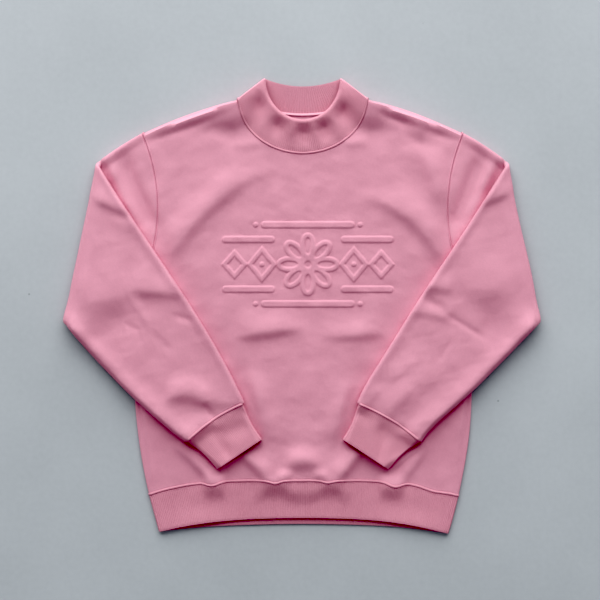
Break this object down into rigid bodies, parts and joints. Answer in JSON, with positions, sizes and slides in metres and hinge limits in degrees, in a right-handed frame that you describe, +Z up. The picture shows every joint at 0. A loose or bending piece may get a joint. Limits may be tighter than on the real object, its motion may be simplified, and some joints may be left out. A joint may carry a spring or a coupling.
{
  "type": "mock neck sweatshirt",
  "caption": "Boxy fleece sweatshirt with a short standing rib collar, dropped shoulders and rib cuffs and hem, laid flat on its back with both sleeves folded over the front.",
  "frame": {"origin": "on the surface that the garment lies on, under the middle of its outline", "axes": "+X towards the wearer's left side, across the garment; +Y from the hem to the collar; +Z up out of the surface, so the front faces up"},
  "size_m": [0.7486, 0.7112, 0.0191],
  "materials": {
    "fleece": "brushed cotton fleece, dusty pink",
    "rib": "fine cotton rib, a darker dusty rose",
    "tape": "fine jersey tape, dusty pink"
  },
  "bodies": {
    "root": {"back_panel": "fleece", "front_panel": "fleece", "left_sleeve": "fleece", "right_sleeve": "fleece", "left_cuff": "rib", "right_cuff": "rib", "hem_band": "rib", "collar": "rib", "neck_tape": "tape"}
  },
  "joints": []
}
